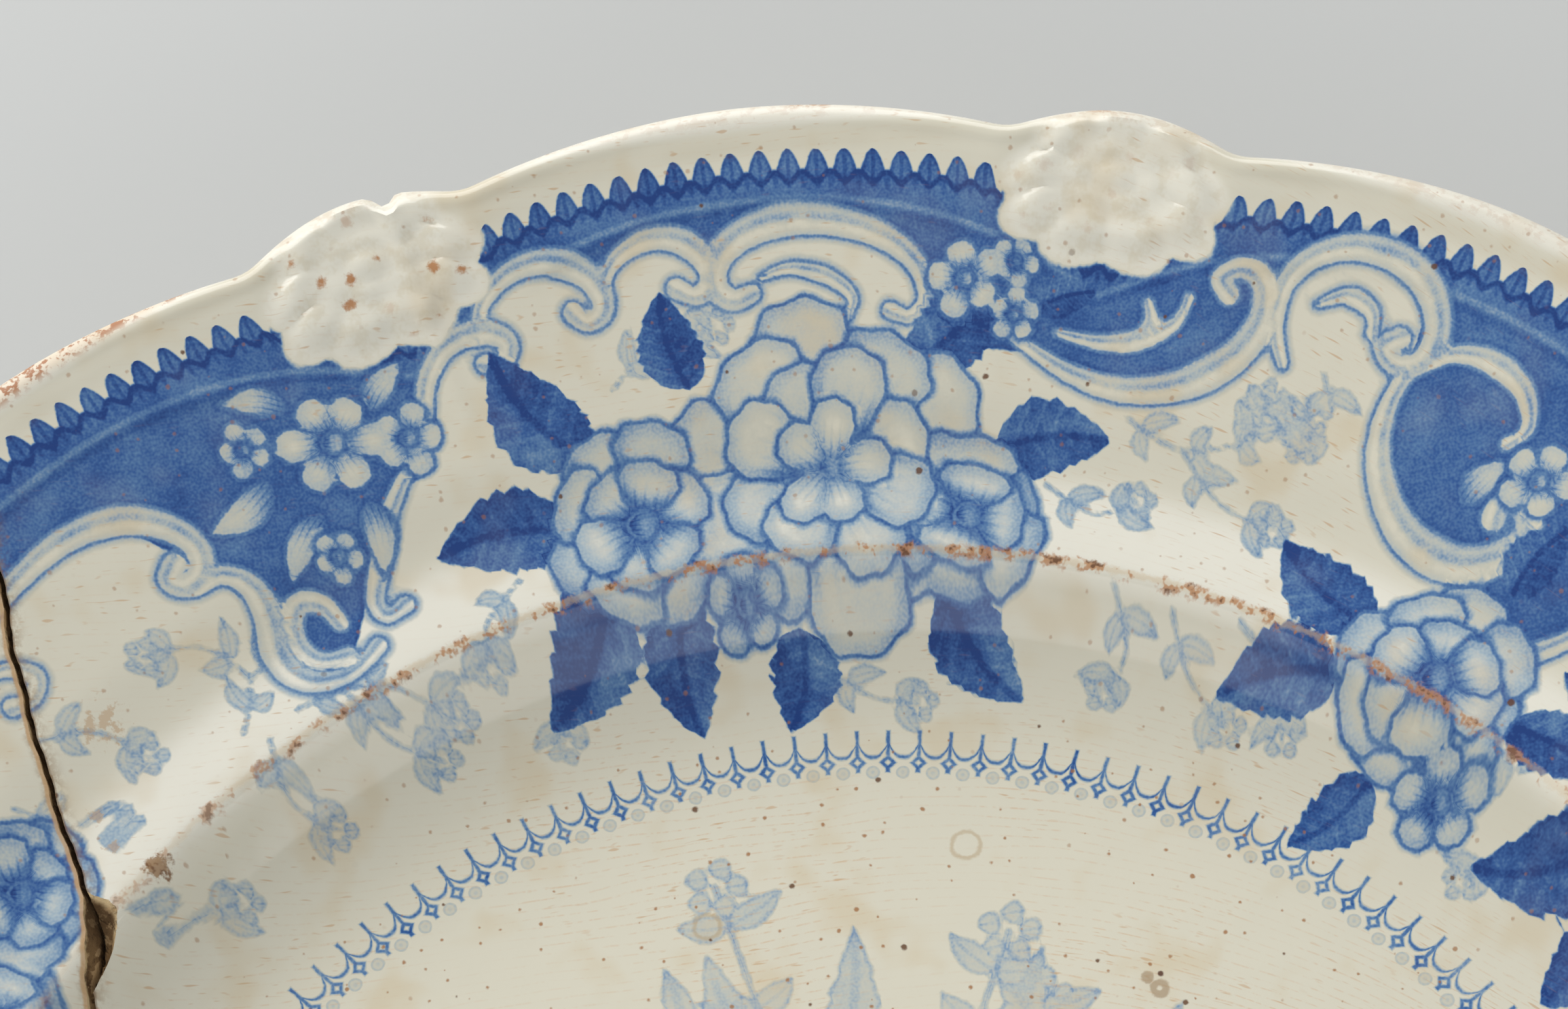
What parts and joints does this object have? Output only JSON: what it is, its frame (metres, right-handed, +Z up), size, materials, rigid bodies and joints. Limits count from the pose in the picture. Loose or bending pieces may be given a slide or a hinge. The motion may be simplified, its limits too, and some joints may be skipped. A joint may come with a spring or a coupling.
{
  "type": "broken dinner plate",
  "caption": "Moulded dinner plate with a lobed, beaded edge, raised flower heads and a deep well, cracked across into a main piece and a side piece, with a splinter lost at the shoulder.",
  "frame": {"origin": "centre of the foot ring's resting plane, on the plate's axis", "axes": "+Z up out of the well, -X through the middle of the side piece, +Y towards the edge that lies farthest from the camera"},
  "size_m": [0.2557, 0.2557, 0.0312],
  "materials": {
    "printed_glaze": "warm cream lead glaze, crazed and specked with brown, over a blue underglaze print; bare tan body where it broke"
  },
  "bodies": {
    "root": {"main_piece": "printed_glaze", "side_piece": "printed_glaze"}
  },
  "joints": []
}
